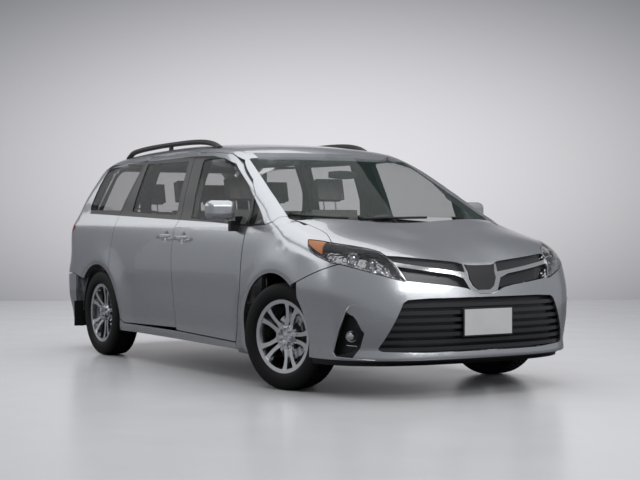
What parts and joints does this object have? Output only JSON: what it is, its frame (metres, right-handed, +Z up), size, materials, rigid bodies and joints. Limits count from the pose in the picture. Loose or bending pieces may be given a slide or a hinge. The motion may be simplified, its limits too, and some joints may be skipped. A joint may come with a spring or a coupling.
{
  "type": "minivan",
  "caption": "Silver-grey family minivan with sliding side doors, black roof rails and bright alloy wheels turned a little to its left.",
  "frame": {"origin": "centre of the bounding box's underside, on the ground between the wheels", "axes": "+X forward along the vehicle, +Y to its left, +Z up"},
  "size_m": [5.0937, 2.41, 1.7753],
  "materials": {
    "paint": "satin",
    "glass": "gloss",
    "lamp_clear": "gloss",
    "lamp_bowl": "satin",
    "lamp_red": "gloss",
    "black_plastic": "matte",
    "grille_trim": "satin",
    "plate": "matte",
    "frame_steel": "matte",
    "cast_iron": "matte",
    "tyre": "matte",
    "chrome": "gloss",
    "trim_cloth": "matte",
    "dash": "matte"
  },
  "bodies": {
    "body": {"sliding_door_right": "paint", "sliding_door_left": "paint", "fender_right": "paint", "fender_left": "paint", "body_side_right": "paint", "body_side_left": "paint", "front_bumper": "paint", "rear_bumper": "paint", "roof_panel": "paint", "side_windows": "glass", "windshield": "glass", "front_lamps": "lamp_clear", "tail_lamps": "lamp_red", "mud_flaps": "black_plastic", "cowl": "black_plastic", "roof_rails": "black_plastic", "upper_grille": "grille_trim", "lower_grille": "grille_trim", "grille_wings": "chrome", "badge_housing": "black_plastic", "front_valance": "black_plastic", "fog_bezels": "black_plastic", "lamp_bowls": "lamp_bowl", "number_plate": "plate", "floor_pan": "frame_steel", "front_subframe": "frame_steel", "rear_axle": "frame_steel", "fuel_tank": "frame_steel", "exhaust": "frame_steel", "engine": "cast_iron", "front_seats": "trim_cloth", "rear_seats": "trim_cloth", "dashboard": "dash"},
    "door_right": {"front_door_right": "paint", "front_door_glass_right": "glass", "mirror_right": "paint"},
    "door_left": {"front_door_left": "paint", "front_door_glass_left": "glass", "mirror_left": "paint"},
    "bonnet": {"hood": "paint"},
    "tailgate": {"liftgate": "paint", "liftgate_glass": "glass"},
    "steer_right": {"knuckle_right": "cast_iron"},
    "steer_left": {"knuckle_left": "cast_iron"},
    "wheel_front_right": {"tyre_front_right": "tyre", "rim_front_right": "chrome"},
    "wheel_front_left": {"tyre_front_left": "tyre", "rim_front_left": "chrome"},
    "wheel_rear_right": {"tyre_rear_right": "tyre", "rim_rear_right": "chrome"},
    "wheel_rear_left": {"tyre_rear_left": "tyre", "rim_rear_left": "chrome"}
  },
  "joints": [
    {"name": "front_door_right_hinge", "type": "hinge", "parent": "body", "child": "door_right", "pos_m": [0.965, -0.972, 0.68], "axis": [0, 0, 1], "range_deg": [0, 66]},
    {"name": "front_door_left_hinge", "type": "hinge", "parent": "body", "child": "door_left", "pos_m": [0.965, 0.972, 0.68], "axis": [0, 0, -1], "range_deg": [0, 66]},
    {"name": "hood_hinge", "type": "hinge", "parent": "body", "child": "bonnet", "pos_m": [1.36, 0, 1.065], "axis": [0, -1, 0], "range_deg": [0, 55]},
    {"name": "liftgate_hinge", "type": "hinge", "parent": "body", "child": "tailgate", "pos_m": [-1.945, 0, 1.666], "axis": [0, 1, 0], "range_deg": [0, 85]},
    {"name": "steer_right_kingpin", "type": "hinge", "parent": "body", "child": "steer_right", "pos_m": [1.5055, -0.7809, 0.358], "axis": [0, 0.2079, 0.9781], "range_deg": [-50, 18]},
    {"name": "wheel_front_right_spin", "type": "hinge", "parent": "steer_right", "child": "wheel_front_right", "pos_m": [1.53006, -0.86847, 0.35799], "axis": [-0.2696, 0.9629, 0.0079], "continuous": true},
    {"name": "wheel_rear_right_spin", "type": "hinge", "parent": "body", "child": "wheel_rear_right", "pos_m": [-1.5065, -0.872, 0.358], "axis": [0, 1, 0], "continuous": true},
    {"name": "steer_left_kingpin", "type": "hinge", "parent": "body", "child": "steer_left", "pos_m": [1.5055, 0.7809, 0.358], "axis": [0, -0.2079, 0.9781], "range_deg": [-50, 18]},
    {"name": "wheel_front_left_spin", "type": "hinge", "parent": "steer_left", "child": "wheel_front_left", "pos_m": [1.48094, 0.86847, 0.35799], "axis": [-0.2696, 0.9629, -0.0079], "continuous": true},
    {"name": "wheel_rear_left_spin", "type": "hinge", "parent": "body", "child": "wheel_rear_left", "pos_m": [-1.5065, 0.872, 0.358], "axis": [0, 1, 0], "continuous": true}
  ],
  "couplings": [
    {"joint": "steer_right_kingpin", "follows": "steer_left_kingpin", "ratio": 1}
  ]
}
